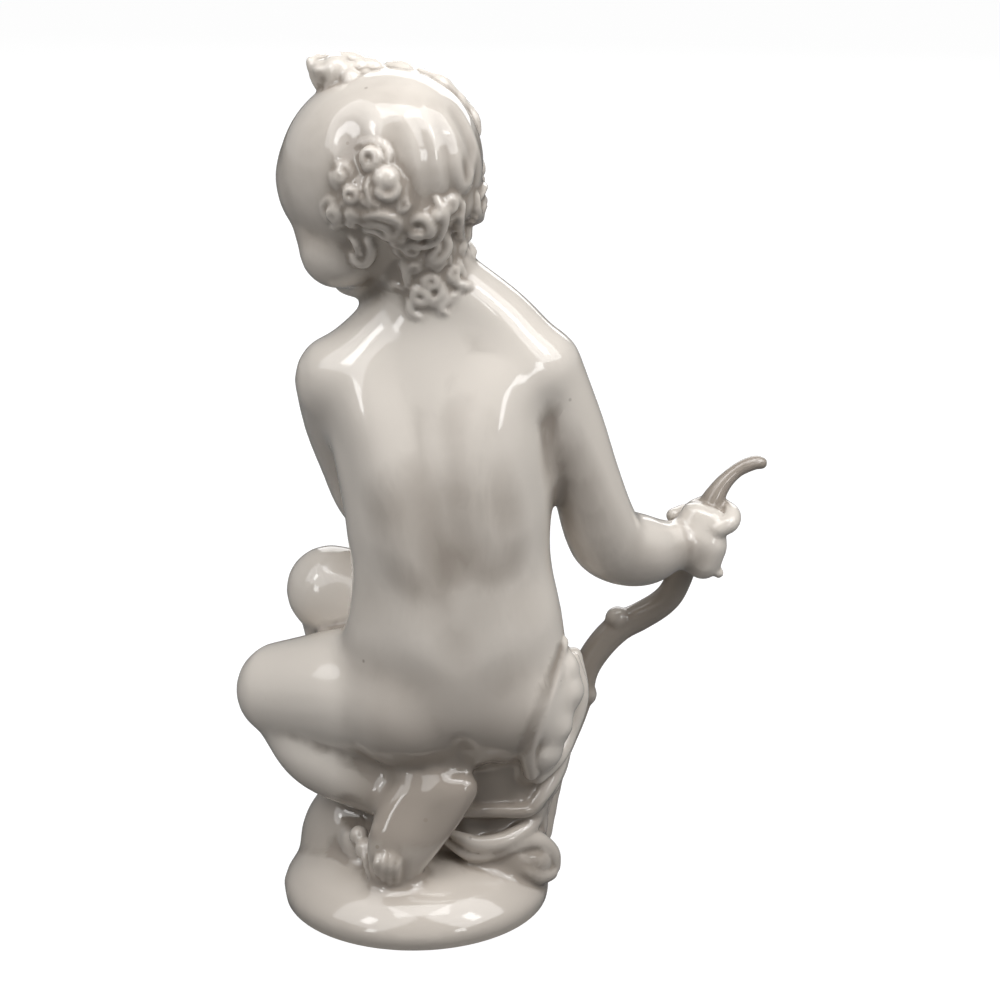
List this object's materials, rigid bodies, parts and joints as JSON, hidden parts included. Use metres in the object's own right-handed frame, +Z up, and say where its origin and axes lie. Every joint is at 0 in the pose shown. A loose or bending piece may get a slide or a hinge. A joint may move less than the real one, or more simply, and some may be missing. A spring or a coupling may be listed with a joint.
{
  "type": "cherub figurine",
  "caption": "Glazed porcelain figurine of a nude child crouching on a round domed base, head turned aside, one arm out and holding a crooked branch, a cloth falling from the hip.",
  "frame": {"origin": "middle of the round base's flat underside, on the surface that the figurine stands on", "axes": "+Z up, +Y the way the figure's chest faces, +X towards the figure's right arm and the branch"},
  "size_m": [0.115, 0.0753, 0.1795],
  "materials": {
    "porcelain": "clear glossy glaze over white porcelain, pooling faintly darker in the creases"
  },
  "bodies": {
    "root": {"cherub_figurine": "porcelain"}
  },
  "joints": []
}
